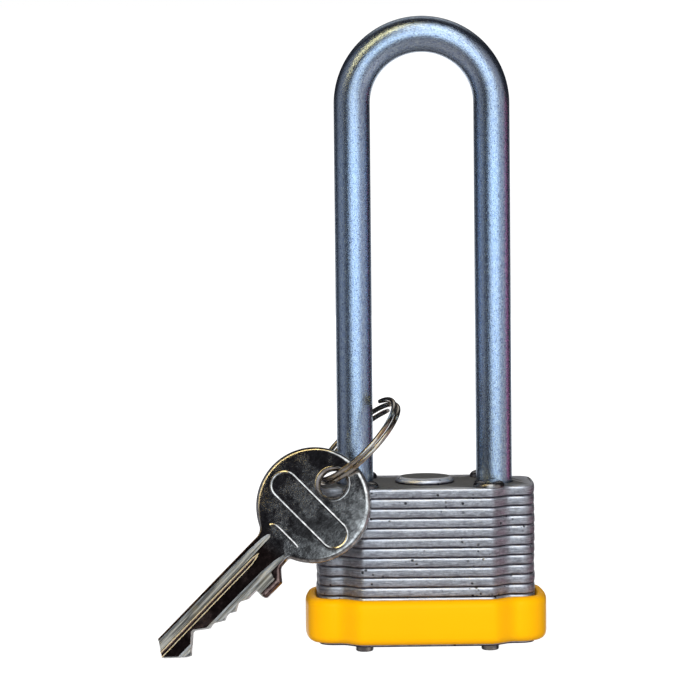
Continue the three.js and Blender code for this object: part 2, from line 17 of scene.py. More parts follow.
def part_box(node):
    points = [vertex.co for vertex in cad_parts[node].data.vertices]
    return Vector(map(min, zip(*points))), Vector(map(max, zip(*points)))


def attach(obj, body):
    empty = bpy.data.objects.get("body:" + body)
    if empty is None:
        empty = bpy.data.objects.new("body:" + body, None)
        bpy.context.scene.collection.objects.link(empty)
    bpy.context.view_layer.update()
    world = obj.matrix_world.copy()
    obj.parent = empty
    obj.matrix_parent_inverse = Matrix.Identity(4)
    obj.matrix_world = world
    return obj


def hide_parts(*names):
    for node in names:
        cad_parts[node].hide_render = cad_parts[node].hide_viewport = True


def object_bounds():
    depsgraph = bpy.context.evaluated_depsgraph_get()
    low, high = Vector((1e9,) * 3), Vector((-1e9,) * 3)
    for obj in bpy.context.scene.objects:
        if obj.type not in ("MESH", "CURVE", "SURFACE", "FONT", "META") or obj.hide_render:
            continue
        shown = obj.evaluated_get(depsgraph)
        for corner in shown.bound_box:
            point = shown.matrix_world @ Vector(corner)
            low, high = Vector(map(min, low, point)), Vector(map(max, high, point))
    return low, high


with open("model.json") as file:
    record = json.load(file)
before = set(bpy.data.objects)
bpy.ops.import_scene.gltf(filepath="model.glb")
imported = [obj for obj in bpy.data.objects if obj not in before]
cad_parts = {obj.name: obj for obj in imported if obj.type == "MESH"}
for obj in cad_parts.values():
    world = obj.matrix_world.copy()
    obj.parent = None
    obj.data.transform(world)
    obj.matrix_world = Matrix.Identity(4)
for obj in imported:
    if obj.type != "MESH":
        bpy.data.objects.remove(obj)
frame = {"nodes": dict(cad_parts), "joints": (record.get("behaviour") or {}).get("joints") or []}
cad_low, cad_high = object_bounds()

MM = 0.001
RECORD_JOINTS = {joint["name"]: joint for joint in frame["joints"]}


def box_mm(node):
    """A CAD node's lowest and highest corners, in millimetres."""
    low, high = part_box(node)
    return low / MM, high / MM


PLATE_LOW, PLATE_HIGH = box_mm("plate_01")
PLATE_COUNT = 16
BODY_TOP = box_mm(f"plate_{PLATE_COUNT}")[1].z
LEG_X = (box_mm("shackle")[1].x - box_mm("shackle")[0].x) / 2 - box_mm("shackle")[1].y

# ---------------- driving sizes, millimetres

# Plan outline of a plate, from the end of the front flat to the end of the body
FLAT_HALF = 11.1
LOBE_START = 15.2
LOBE_HALF_DEPTH = 8.2
CORNER_R = 2.75
END_BULGE = 0.3

# Faults of a stamped plate: a slow wave and fine ticks round its edge, how far it slips, its slope
WAVE_RATE = 0.35
WAVE_STEP = 3.1
WAVE_DEPTH = 0.035
TICK_RATE = 1.9
TICK_RISE_RATE = 2.3
TICK_DEPTH = 0.02
EDGE_WEAR = 0.03
PLATE_SLIP = 0.04
PLATE_DRAFT = (-0.04, 0.05)
PLATE_SEED = 11

# Bumper
BUMPER_GAP = 0.2
BUMPER_FLAT_HALF = 11.3
BUMPER_LOBE_START = 16.2
BUMPER_TOP_ROUND = 1.35
BUMPER_FOOT_IN = 1.5
BUMPER_FOOT_UP = 1.35
BUMPER_BELTS = (-1.5, 1.0)
RIM_FLAT = 0.93
RIM_BREAK = 0.12
FOOT_FLAT = 0.95
FOOT_BREAK = 0.1

# Shackle
LEG_R = 3.2
BOW_Z = 95.2
TOE_END_Z = 17.5
HEEL_END_Z = 6.5
BALL_Z = 23.6
LOCKED_BALL_X = 7.95
NOTCH_R = 2.8
LIFT = 12.0
NECK_R = 1.8
LEG_HOLE_R = 3.5
TOE_ROOM = 2
TOE_STRAIGHT = 2
HEEL_STRAIGHT_Z = 17
HEEL_CHAMFER = 0.4

# Inside the body
HOUSING_R = 6.3
CHAMBER_HALF = 2.3
CHAMBER_BACK_Y = 10.05
HOUSING_TOP_Z = 19.2
CAM_LOW_Z = 21.3
CAM_HIGH_Z = 25.9
CAM_ROOM_R = 5.6
CHANNEL_HALF = 2.65
FACE_HOLE_R = 4.85
TAIL_HOLE_R = 5.3

# Rivets and the button
RIVET_R = 1.6
RIVET_HEAD_R = 2.8
RIVET_ROOM = 0.12
BUTTON_R = 5.25
BUTTON_SHANK_R = 2.4
SHANK_ROOM = 0.1
HEAD_LIFT = 0.01

# Split ring
RING_CENTRE = Vector((-11.9, -5.02, 35.7))
RING_TURN = math.radians(15.1)
RING_DIP = math.radians(46.1)
RING_R = 9.45
RING_WIRE_RADIAL = 0.85
RING_WIRE_AXIAL = 0.78
RING_PITCH = 0.86
RING_TURNS = 2.0
RING_START = -math.pi * 0.21
RING_SPREAD = 0.3
RING_SPREAD_TURNS = 0.24
RING_CORNER_R = 0.3
RING_END_TRIM = 0.12

# Key, with X from the middle of its bow to its tip and Y towards the cuts
KEY_HALF_THICK = 1.05
BOW_R = 10.25
KEY_HOLE_X = -5.06
KEY_HOLE_R = 2.4
KEY_BACK_Y = -3.2
KEY_TOP_Y = 3.2
KEY_CROWN = -1.6
KEY_HANG = math.radians(45.3)
KEY_PITCH = math.radians(-1.84)


# ---------------- node trees


class Tree:
    """A short way to write a node tree: every call adds one node and returns its output."""

    def __init__(self, owner):
        owner.use_nodes = True
        self.owner = owner
        self.tree = owner.node_tree
        self.tree.nodes.clear()

    def node(self, kind, inputs, output=0, **settings):
        made = self.tree.nodes.new(kind)
        for name, value in settings.items():
            setattr(made, name, value)
        for key, value in inputs.items():
            socket = made.inputs[key]
            if isinstance(value, bpy.types.NodeSocket):
                self.tree.links.new(value, socket)
            else:
                socket.default_value = value
        return made.outputs[output]

    def math(self, operation, a, b=0.0, c=0.0, clamp=False):
        return self.node("ShaderNodeMath", {0: a, 1: b, 2: c}, operation=operation, use_clamp=clamp)

    def times(self, a, b):
        return self.math("MULTIPLY", a, b)

    def times_plus(self, a, b, c, clamp=False):
        """a times b, plus c."""
        return self.math("MULTIPLY_ADD", a, b, c, clamp)

    def rest(self, value):
        """What is left of 1."""
        return self.math("SUBTRACT", 1.0, value)

    def vector(self, operation, a, b=(0, 0, 0)):
        output = "Value" if operation in ("DOT_PRODUCT", "LENGTH") else "Vector"
        return self.node("ShaderNodeVectorMath", {0: a, 1: b}, output=output, operation=operation)

    def part(self, vector, axis):
        return self.node("ShaderNodeSeparateXYZ", {0: vector}, output=axis)

    def step(self, value, low, high):
        """0 below low, 1 above high, smooth between."""
        inputs = {"Value": value, "From Min": low, "From Max": high}
        return self.node("ShaderNodeMapRange", inputs, interpolation_type="SMOOTHSTEP")

    def blend(self, factor, a, b):
        inputs = {"Factor": factor, 6: a, 7: b}
        return self.node("ShaderNodeMix", inputs, output=2, data_type="RGBA")

    def lay(self, base, mask, share, colour):
        """A colour over base, by a share of the mask."""
        return self.blend(self.times(mask, share), base, colour)

    def noise(self, vector, scale, detail=3.0, roughness=0.55):
        inputs = {"Vector": vector, "Scale": scale, "Detail": detail, "Roughness": roughness}
        return self.node("ShaderNodeTexNoise", inputs)

    def cells(self, vector, scale):
        inputs = {"Vector": vector, "Scale": scale}
        return self.node("ShaderNodeTexVoronoi", inputs, output="Distance")

    def stretch(self, vector, scale):
        return self.node("ShaderNodeMapping", {"Vector": vector, "Scale": scale})

    def bump(self, height, distance, strength=1.0, normal=None):
        inputs = {"Height": height, "Distance": distance, "Strength": strength}
        if normal is not None:
            inputs["Normal"] = normal
        return self.node("ShaderNodeBump", inputs)

    def show(self, shader, kind="ShaderNodeOutputMaterial"):
        """Ends the tree in its output node."""
        out = self.tree.nodes.new(kind)
        self.tree.links.new(shader, out.inputs["Surface"])


def rgb(r, g, b):
    return (r, g, b, 1.0)


def material(name):
    """A new material's tree and the object coordinates that its patterns use."""
    tree = Tree(bpy.data.materials.new(name))
    return tree, tree.node("ShaderNodeTexCoord", {}, output="Object")


def surface(tree, inputs):
    tree.show(tree.node("ShaderNodeBsdfPrincipled", inputs))
    return tree.owner


def metal(tree, base, rough, normal):
    return surface(tree, {"Base Color": base, "Metallic": 1.0, "Roughness": rough, "Normal": normal})


# ---------------- materials


def plate_steel():
    """Rolled steel: lengthwise grain, a painted highlight on the upper edges, pits, and painted shade where
    plates meet.
    """
    t, place = material("plate_steel")
    height = t.part(place, "Z")
    normal = t.node("ShaderNodeNewGeometry", {}, output="Normal")
    up = t.part(normal, "Z")
    grain = t.noise(t.stretch(place, (520, 520, 5200)), 1.0, 4.0, 0.7)
    mottle = t.noise(place, 1700, 4.0, 0.65)
    patches = t.noise(place, 160, 3.0, 0.5)
    pit_cells = t.cells(place, 900)
    pit_here = t.step(t.noise(place, 260, 2.0), 0.55, 0.63)
    pit = t.times(t.rest(t.step(pit_cells, 0.14, 0.3)), pit_here)

    base = t.blend(t.step(grain, 0.32, 0.68), rgb(0.22, 0.22, 0.24), rgb(0.64, 0.65, 0.68))
    base = t.lay(base, t.step(mottle, 0.42, 0.68), 0.5, rgb(0.17, 0.165, 0.18))
    base = t.lay(base, patches, 0.3, rgb(0.5, 0.49, 0.52))
    # Upward-facing rolled edges take a painted highlight: a patchy near-white colour standing in for the
    # reflection of a light above.
    edge = t.step(up, 0.1, 0.5)
    edge = t.times(edge, t.times_plus(patches, 0.5, 0.7, clamp=True))
    base = t.blend(edge, base, rgb(0.93, 0.95, 1.0))
    flat = t.step(up, 0.965, 0.995)
    top_grey = t.blend(mottle, rgb(0.16, 0.16, 0.155), rgb(0.34, 0.335, 0.33))
    base = t.blend(flat, base, top_grey)
    base = t.lay(base, pit, 0.9, rgb(0.02, 0.022, 0.03))

    pitch = (box_mm("plate_02")[0].z - PLATE_LOW.z) * MM
    whole_pitches = 4  # keeps the level positive
    raised = t.math("ADD", height, pitch * whole_pitches)
    level = t.math("FRACT", t.math("DIVIDE", raised, pitch))
    # Painted shade in the gap between plates: a near-black band along the bottom of each plate's side.
    gap_shade = t.rest(t.step(level, 0.07, 0.17))
    side = t.rest(t.step(t.math("ABSOLUTE", up), 0.9, 0.97))
    gap_shade = t.times(gap_shade, side)
    base = t.lay(base, gap_shade, 0.94, rgb(0.014, 0.007, 0.026))

    rough = t.times_plus(grain, 0.2, 0.44)
    rough = t.times_plus(flat, 0.06, rough)
    rough = t.times_plus(edge, -0.08, rough)
    relief = t.times_plus(mottle, 0.8, grain)
    relief = t.times_plus(pit, -2.0, relief)
    return metal(t, base, rough, t.bump(relief, 0.00005, 0.8))


def yellow_vinyl():
    """Moulded vinyl: nearly even colour, small specks of dirt and a fine skin."""
    t, place = material("yellow_vinyl")
    clouds = t.noise(place, 90, 3.0, 0.5)
    skin = t.noise(place, 2600, 3.0, 0.6)
    dirt = t.step(t.noise(place, 700, 5.0, 0.7), 0.62, 0.75)
    base = t.blend(clouds, rgb(1.0, 0.44, 0.0), rgb(1.0, 0.48, 0.0))
    base = t.lay(base, dirt, 0.12, rgb(0.75, 0.36, 0.02))
    rough = t.times_plus(clouds, 0.12, 0.3)
    relief = t.times_plus(clouds, 2.0, skin)
    normal = t.bump(relief, 0.00002, 0.35)
    inputs = {"Base Color": base, "Roughness": rough, "Normal": normal}
    return surface(t, {**inputs, "IOR": 1.48, "Specular IOR Level": 0.12})


def plated_bar():
    """Zinc plate over a drawn bar: fine streaks along the bar, speckles, and a blue film."""
    t, place = material("plated_steel")
    wrap = t.node("ShaderNodeUVMap", {}, uv_map="bar")
    streak = t.noise(t.stretch(wrap, (90, 9, 1)), 1.0, 4.0, 0.7)
    fine = t.noise(t.stretch(wrap, (150, 46, 1)), 1.0, 4.0, 0.75)
    speckle = t.noise(place, 3400, 4.0, 0.75)
    cloud = t.noise(place, 70, 2.0, 0.5)
    base = t.blend(t.step(streak, 0.3, 0.7), rgb(0.3, 0.44, 0.7), rgb(0.74, 0.93, 1.0))
    base = t.lay(base, t.step(fine, 0.42, 0.66), 0.65, rgb(0.2, 0.32, 0.62))
    film = t.blend(cloud, rgb(0.6, 0.6, 0.8), rgb(0.46, 0.7, 0.96))
    base = t.blend(0.25, base, film)
    dark = t.step(speckle, 0.53, 0.66)
    base = t.lay(base, dark, 0.85, rgb(0.08, 0.1, 0.2))
    height = t.part(place, "Z")
    below_bow = 14
    into_bow = 4
    foot_length = 34
    bend = t.step(height, (BOW_Z - below_bow) * MM, (BOW_Z + into_bow) * MM)
    foot = t.rest(t.step(height, BODY_TOP * MM, (BODY_TOP + foot_length) * MM))
    dull = t.math("MAXIMUM", bend, foot)
    grey = t.vector("MULTIPLY", base, (0.84, 0.76, 0.68))
    base = t.lay(base, dull, 0.7, grey)
    rough = t.times_plus(streak, 0.18, 0.16)
    relief = t.times_plus(fine, 0.8, streak)
    relief = t.times_plus(speckle, 0.3, relief)
    return metal(t, base, rough, t.bump(relief, 0.00005, 0.5))


def peened_steel():
    """Dark struck steel: small hammer dents and worn spots."""
    t, place = material("rivet_steel")
    dents = t.cells(place, 1300)
    mottle = t.noise(place, 900, 4.0, 0.65)
    worn = t.step(t.noise(place, 520, 2.0), 0.5, 0.66)
    base = t.blend(mottle, rgb(0.1, 0.1, 0.105), rgb(0.3, 0.295, 0.29))
    base = t.lay(base, worn, 0.4, rgb(0.6, 0.55, 0.48))
    rough = t.times_plus(mottle, 0.2, 0.16)
    relief = t.times_plus(dents, 0.9, mottle)
    return metal(t, base, rough, t.bump(relief, 0.00008, 0.5))


def spring_steel():
    """Drawn wire: grey with a fine skin and slight straw tint."""
    t, place = material("spring_steel")
    mottle = t.noise(place, 1400, 4.0, 0.6)
    tint = t.noise(place, 240, 2.0, 0.5)
    base = t.blend(mottle, rgb(0.42, 0.42, 0.43), rgb(0.62, 0.62, 0.63))
    base = t.lay(base, tint, 0.35, rgb(0.55, 0.46, 0.34))
    rough = t.times_plus(mottle, 0.15, 0.24)
    return metal(t, base, rough, t.bump(mottle, 0.00002, 0.4))


def machined_brass():
    """Turned brass: fine tool rings up the cylinder and small tarnished patches."""
    t, place = material("brass")
    rings = t.noise(t.stretch(place, (200, 200, 9000)), 1.0, 2.0, 0.5)
    tarnish = t.noise(place, 380, 4.0, 0.6)
    base = t.blend(rings, rgb(0.62, 0.44, 0.17), rgb(0.82, 0.62, 0.3))
    base = t.lay(base, t.step(tarnish, 0.5, 0.72), 0.5, rgb(0.4, 0.24, 0.1))
    rough = t.times_plus(rings, 0.14, 0.22)
    return metal(t, base, rough, t.bump(rings, 0.00002, 0.5))


def hard_steel():
    """Ground hardened steel: bright, with crossing grinding marks."""
    t, place = material("hard_steel")
    one_way = t.noise(t.stretch(place, (4200, 500, 500)), 1.0, 2.0, 0.5)
    other_way = t.noise(t.stretch(place, (500, 500, 4200)), 1.0, 2.0, 0.5)
    marks = t.times_plus(one_way, 0.5, other_way)
    mottle = t.noise(place, 500, 3.0, 0.6)
    base = t.blend(mottle, rgb(0.5, 0.51, 0.53), rgb(0.72, 0.73, 0.75))
    rough = t.times_plus(marks, 0.12, 0.12)
    return metal(t, base, rough, t.bump(marks, 0.000015, 0.4))


def ring_nickel():
    """Nickel-plated flat wire: dark, with straw and brown tints and marks along the wire."""
    t, place = material("ring_nickel")
    wrap = t.node("ShaderNodeUVMap", {}, uv_map="bar")
    lines = t.noise(t.stretch(wrap, (60, 6, 1)), 1.0, 4.0, 0.6)
    tint = t.noise(place, 330, 3.0, 0.6)
    base = t.blend(lines, rgb(0.24, 0.22, 0.19), rgb(0.74, 0.7, 0.62))
    base = t.lay(base, t.step(tint, 0.38, 0.6), 0.75, rgb(0.32, 0.2, 0.08))
    rough = t.times_plus(lines, 0.1, 0.07)
    return metal(t, base, rough, t.bump(lines, 0.00003, 0.5))


def key_nickel():
    """Tumbled nickel plate on a stamped blank: dark and glossy, slightly crowned, with a pebbled skin."""
    t, place = material("key_nickel")
    pebbles = t.noise(place, 2600, 4.0, 0.7)
    coarse = t.noise(place, 900, 5.0, 0.65)
    worn = t.step(t.noise(place, 260, 4.0, 0.65), 0.44, 0.62)
    dark_from, dark_to = (8.5 - KEY_HOLE_X) * MM, (12 - KEY_HOLE_X) * MM
    blade = t.step(t.part(place, "X"), dark_from, dark_to)
    base = t.blend(t.step(coarse, 0.3, 0.7), rgb(0.2, 0.19, 0.18), rgb(0.6, 0.59, 0.56))
    base = t.lay(base, worn, 0.35, rgb(0.6, 0.59, 0.58))
    shade = t.vector("MULTIPLY", base, (0.36, 0.24, 0.22))
    base = t.blend(blade, base, shade)
    rough = t.times_plus(pebbles, 0.08, 0.06)
    rough = t.times_plus(worn, 0.1, rough)
    from_middle = t.vector("SUBTRACT", place, (-KEY_HOLE_X * MM, 0.0, 0.0))
    reach = t.vector("LENGTH", t.vector("MULTIPLY", from_middle, (1.0, 1.0, 0.0)))
    bowl = t.times(t.times(reach, reach), KEY_CROWN)
    inside = t.math("LESS_THAN", reach, BOW_R * MM)
    crowned = t.bump(t.times(bowl, inside), 1.0, 1.0)
    relief = t.times_plus(coarse, 1.2, pebbles)
    strength = t.times_plus(worn, 0.32, 0.2)
    return metal(t, base, rough, t.bump(relief, 0.000035, strength, crowned))


def key_milled():
    """Cut surfaces of the key: pale satin metal with cutter marks along the blade."""
    t, place = material("key_milled")
    marks = t.noise(t.stretch(place, (110, 2400, 2400)), 1.0, 4.0, 0.6)
    tint = t.noise(place, 260, 2.0, 0.5)
    base = t.blend(t.step(marks, 0.36, 0.62), rgb(0.16, 0.16, 0.155), rgb(0.78, 0.77, 0.74))
    base = t.lay(base, t.step(tint, 0.5, 0.7), 0.3, rgb(0.6, 0.5, 0.3))
    rough = t.times_plus(marks, 0.2, 0.3)
    return metal(t, base, rough, t.bump(marks, 0.00003, 0.5))


def key_burnished():
    """Lips of the key's groove, rubbed to a warm shine."""
    t, place = material("key_burnished")
    marks = t.noise(t.stretch(place, (300, 2600, 2600)), 1.0, 3.0, 0.6)
    base = t.blend(marks, rgb(0.8, 0.62, 0.34), rgb(1.0, 0.93, 0.76))
    rough = t.times_plus(marks, 0.2, 0.42)
    return metal(t, base, rough, t.bump(marks, 0.00003, 0.5))


PLATE_STEEL = plate_steel()
VINYL = yellow_vinyl()
PLATED = plated_bar()
PEENED = peened_steel()
SPRING = spring_steel()
BRASS = machined_brass()
HARD = hard_steel()
RING_METAL = ring_nickel()
KEY_METAL = key_nickel()
KEY_CUT = key_milled()
KEY_LIP = key_burnished()
KEY_MATERIALS = [KEY_METAL, KEY_CUT, KEY_LIP]


# ---------------- mesh helpers


ROUND_SIDES = 48
SAME_PLACE = 1e-5


def add_ring(bm, points):
    return [bm.verts.new(p) for p in points]


def join_rings(bm, a, b):
    count = len(a)
    for i in range(count):
        j = (i + 1) % count
        bm.faces.new((a[i], a[j], b[j], b[i]))


def loft(rings, closed=False):
    """A solid skinned over rings of points; the ends are capped unless the rings close on themselves."""
    bm = bmesh.new()
    rows = [add_ring(bm, ring) for ring in rings]
    for a, b in zip(rows, rows[1:]):
        join_rings(bm, a, b)
    if closed:
        join_rings(bm, rows[-1], rows[0])
    else:
        bm.faces.new(list(reversed(rows[0])))
        bm.faces.new(rows[-1])
    bmesh.ops.recalc_face_normals(bm, faces=bm.faces[:])
    return bm


def lathe(profile, sides, centre=(0.0, 0.0)):
    """A turned solid about an upright axis: the profile is (radius, height) from the axis back to it."""
    bm = bmesh.new()
    rows = []
    for radius, height in profile:
        if radius < SAME_PLACE:
            rows.append([bm.verts.new((centre[0], centre[1], height))])
            continue
        rows.append(add_ring(bm, [(x, y, height) for x, y in circle(radius, sides, *centre)]))
    for a, b in zip(rows, rows[1:]):
        if len(a) == 1:
            for i in range(sides):
                bm.faces.new((a[0], b[(i + 1) % sides], b[i]))
        elif len(b) == 1:
            for i in range(sides):
                bm.faces.new((a[i], a[(i + 1) % sides], b[0]))
        else:
            join_rings(bm, a, b)
    bmesh.ops.recalc_face_normals(bm, faces=bm.faces[:])
    return bm


def prism(points, low, high):
    """An upright prism over a plan outline."""
    return loft([[(x, y, low) for x, y in points], [(x, y, high) for x, y in points]])


def circle(radius, sides=ROUND_SIDES, x=0.0, y=0.0):
    turn = 2 * math.pi / sides
    return [(x + radius * math.cos(turn * i), y + radius * math.sin(turn * i)) for i in range(sides)]


def arc(centre, radius, start, end, steps):
    """Points on an arc, both ends included; angles in radians."""
    points = []
    for i in range(steps + 1):
        a = start + (end - start) * i / steps
        points.append((centre[0] + radius * math.cos(a), centre[1] + radius * math.sin(a)))
    return points


def rectangle(x0, x1, y0, y1):
    return [(x0, y0), (x1, y0), (x1, y1), (x0, y1)]


def add_object(name, data):
    made = bpy.data.objects.new(name, data)
    bpy.context.scene.collection.objects.link(made)
    return made


def temporary(bm, name):
    data = bpy.data.meshes.new(name)
    bm.to_mesh(data)
    return add_object(name, data)


def mesh_in_metres(bm, name):
    """Ends the work on a mesh in millimetres."""
    bmesh.ops.scale(bm, vec=(MM, MM, MM), verts=bm.verts[:])
    data = bpy.data.meshes.new(name)
    bm.to_mesh(data)
    bm.free()
    return data


def combine(bm, tools, operation="DIFFERENCE", cut_face=0):
    """Cuts or joins each tool in turn; the faces that the tools leave take the material number given."""
    for tool in tools:
        for face in tool.faces:
            face.material_index = cut_face
        base = temporary(bm, "base")
        other = temporary(tool, "tool")
        for helper in (base, other):
            for entry in KEY_MATERIALS:
                helper.data.materials.append(entry)
        modifier = base.modifiers.new("cut", "BOOLEAN")
        modifier.operation = operation
        modifier.solver = "EXACT"
        modifier.object = other
        graph = bpy.context.evaluated_depsgraph_get()
        result = bmesh.new()
        result.from_object(base, graph)
        bm.free()
        tool.free()
        bm = result
        for helper in (base, other):
            data = helper.data
            bpy.data.objects.remove(helper)
            bpy.data.meshes.remove(data)
    return bm


def finish_piece(name, bm, materials, body, node, sharp=32.0, matrix=None):
    """Turns a mesh in millimetres into a piece of the lock that rides on a body."""
    bmesh.ops.dissolve_degenerate(bm, edges=bm.edges[:], dist=SAME_PLACE)
    bm.normal_update()
    limit = math.radians(sharp)
    for edge in bm.edges:
        edge.smooth = len(edge.link_faces) == 2 and edge.calc_face_angle(0.0) < limit
    for face in bm.faces:
        face.smooth = True
    data = mesh_in_metres(bm, name)
    for entry in materials:
        data.materials.append(entry)
    piece = add_object(name, data)
    if matrix is not None:
        piece.matrix_world = matrix
    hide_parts(node)
    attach(piece, body)


# ---------------- plan outlines

FLAT_STEPS = 10
BEND_STEPS = 12
LOBE_STEPS = 3
CORNER_STEPS = 10
BULGE_STEPS = 5


def quadrant(half_width, half_depth, flat_half, lobe_start, lobe_depth, corner_r, bulge):
    """From the middle of one long side round to the middle of the end, without the last point."""
    points = [(flat_half * i / FLAT_STEPS, half_depth) for i in range(FLAT_STEPS)]
    for i in range(BEND_STEPS):
        t = i / BEND_STEPS
        fall = (half_depth - lobe_depth) * (0.5 - 0.5 * math.cos(math.pi * t))
        points.append((flat_half + (lobe_start - flat_half) * t, half_depth - fall))
    corner_x = half_width - bulge - corner_r
    corner_y = lobe_depth - corner_r
    for i in range(LOBE_STEPS):
        points.append((lobe_start + (corner_x - lobe_start) * i / LOBE_STEPS, lobe_depth))
    points += arc((corner_x, corner_y), corner_r, math.pi / 2, 0, CORNER_STEPS)[:-1]
    for i in range(BULGE_STEPS):
        t = 1 - i / BULGE_STEPS
        points.append((half_width - bulge * t * t, corner_y * t))
    return points


def whole_outline(*sizes):
    """All four quadrants, anticlockwise from the middle of the right end."""
    points = quadrant(*sizes)
    end = (sizes[0], 0.0)
    back = list(reversed(points[1:]))
    right_top = [end] + back
    top_left = [(-x, y) for x, y in points]
    left_bottom = [(-end[0], 0.0)] + [(-x, -y) for x, y in back]
    bottom_right = [(x, -y) for x, y in points]
    return right_top + top_left + left_bottom + bottom_right


def grown(points, distance):
    """An outline moved outwards along its own normals."""
    count = len(points)
    out = []
    for i, (x, y) in enumerate(points):
        ax, ay = points[i - 1]
        bx, by = points[(i + 1) % count]
        before = Vector((y - ay, ax - x)).normalized()
        after = Vector((by - y, x - bx)).normalized()
        normal = (before + after).normalized()
        reach = distance / max(normal.dot(after), 0.5)
        out.append((x + normal.x * reach, y + normal.y * reach))
    return out


PLATE_OUTLINE = whole_outline(
    PLATE_HIGH.x, PLATE_HIGH.y, FLAT_HALF, LOBE_START, LOBE_HALF_DEPTH, CORNER_R, END_BULGE
)

# ---------------- plates

# Edge of a stamped plate as (inset, share of its thickness): a broken lower edge, a sheared
# land and a rolled upper edge.
PLATE_EDGE = [(0.32, 0.0), (0.2, 0.012), (0.12, 0.05), (0.06, 0.1), (0.02, 0.17), (0.0, 0.26)]
PLATE_EDGE += [(0.0, 0.56), (0.008, 0.68), (0.028, 0.77), (0.065, 0.85)]
PLATE_EDGE += [(0.12, 0.915), (0.19, 0.96), (0.3, 1.0)]


def plate_tools(index, low, high):
    """What passes through a plate decides which holes it has."""
    middle = (low + high) / 2
    holes = []
    rivet_low, rivet_high = box_mm("rivet_front_right")
    rivet_x = (rivet_low.x + rivet_high.x) / 2
    rivet_y = (rivet_low.y + rivet_high.y) / 2
    for x in (-rivet_x, rivet_x):
        for y in (-rivet_y, rivet_y):
            holes.append(circle(RIVET_R + RIVET_ROOM, ROUND_SIDES // 2, x, y))
    if middle > TOE_END_Z - TOE_ROOM:
        holes.append(circle(LEG_HOLE_R, x=-LEG_X))
    if index > 1:
        holes.append(circle(LEG_HOLE_R, x=LEG_X))
    if index == 1:
        holes.append(circle(FACE_HOLE_R, sides=64))
    if index > 1 and middle < HOUSING_TOP_Z:
        holes.append(circle(HOUSING_R))
        holes.append(rectangle(-CHAMBER_HALF, CHAMBER_HALF, 0, CHAMBER_BACK_Y))
    if HOUSING_TOP_Z < middle < CAM_LOW_Z:
        holes.append(circle(TAIL_HOLE_R))
    if CAM_LOW_Z < middle < CAM_HIGH_Z:
        holes.append(circle(CAM_ROOM_R))
        holes.append(rectangle(-LEG_X, LEG_X, -CHANNEL_HALF, CHANNEL_HALF))
    if index == PLATE_COUNT:
        holes.append(circle(BUTTON_SHANK_R + SHANK_ROOM, sides=32))
    return [prism(hole, low - 1, high + 1) for hole in holes]


def laminate(index, shift, draft):
    """One plate, with the slight waviness, slope and misalignment of stamped laminations."""
    node = f"plate_{index:02d}"
    low, high = box_mm(node)
    thick = high.z - low.z
    rings = []
    for inset, share in PLATE_EDGE:
        z = low.z + thick * share
        ring = []
        for x, y in grown(PLATE_OUTLINE, -inset - abs(draft) + draft * (1 - share)):
            slow = Vector((x * WAVE_RATE, y * WAVE_RATE, index * WAVE_STEP))
            fast = Vector((x * TICK_RATE, y * TICK_RATE, z * TICK_RISE_RATE + index))
            wave = mathnoise.noise(slow) * WAVE_DEPTH
            tick = mathnoise.noise(fast) * TICK_DEPTH
            push = 1 + (wave + tick - EDGE_WEAR) / PLATE_HIGH.y
            ring.append((x * push + shift[0], y * push + shift[1], z))
        rings.append(ring)
    bm = combine(loft(rings), plate_tools(index, low.z, high.z))
    finish_piece(f"laminate_{index:02d}", bm, [PLATE_STEEL], "body", node)


def laminates():
    draw = random.Random(PLATE_SEED)
    for index in range(1, PLATE_COUNT + 1):
        shift = (draw.uniform(-PLATE_SLIP, PLATE_SLIP), draw.uniform(-PLATE_SLIP, PLATE_SLIP))
        laminate(index, shift, draw.uniform(*PLATE_DRAFT))


# ---------------- bumper


def vinyl_bumper():
    """The sleeve: a rounded rim, a foot that turns under, and a smooth run round the lobes."""
    low, high = box_mm("bumper")
    wall_x = high.x - PLATE_HIGH.x
    wall_y = high.y - PLATE_HIGH.y
    ends = (LOBE_HALF_DEPTH + wall_y, CORNER_R + wall_x, END_BULGE)
    outer = whole_outline(high.x, high.y, BUMPER_FLAT_HALF, BUMPER_LOBE_START, *ends)
    inner = grown(PLATE_OUTLINE, BUMPER_GAP)
    rim_steps = 7
    foot_steps = 4

    def between(share, z):
        """The section at a share of the way in from the outer wall to the inner one."""
        points = zip(outer, inner)
        return [(a[0] + (b[0] - a[0]) * share, a[1] + (b[1] - a[1]) * share, z) for a, b in points]

    wall = wall_y - BUMPER_GAP
    rings = []
    for i in range(foot_steps + 1):
        a = math.pi / 2 * i / foot_steps
        share = BUMPER_FOOT_IN / wall * (1 - math.sin(a))
        rings.append(between(share, low.z + BUMPER_FOOT_UP * (1 - math.cos(a))))
    middle_z = (low.z + high.z) / 2
    for rise in BUMPER_BELTS:
        rings.append(between(0, middle_z + rise))
    for i in range(rim_steps + 1):
        a = math.pi / 2 * i / rim_steps
        share = BUMPER_TOP_ROUND / wall * (1 - math.cos(a))
        rings.append(between(share, high.z - BUMPER_TOP_ROUND * (1 - math.sin(a))))
    rings.append(between(RIM_FLAT, high.z))
    for z in (high.z - RIM_BREAK, middle_z, low.z + FOOT_BREAK):
        rings.append(between(1.0, z))
    rings.append(between(FOOT_FLAT, low.z))
    bm = loft(rings, closed=True)
    finish_piece("vinyl_bumper", bm, [VINYL], "body", "bumper", sharp=50)


# ---------------- fasteners


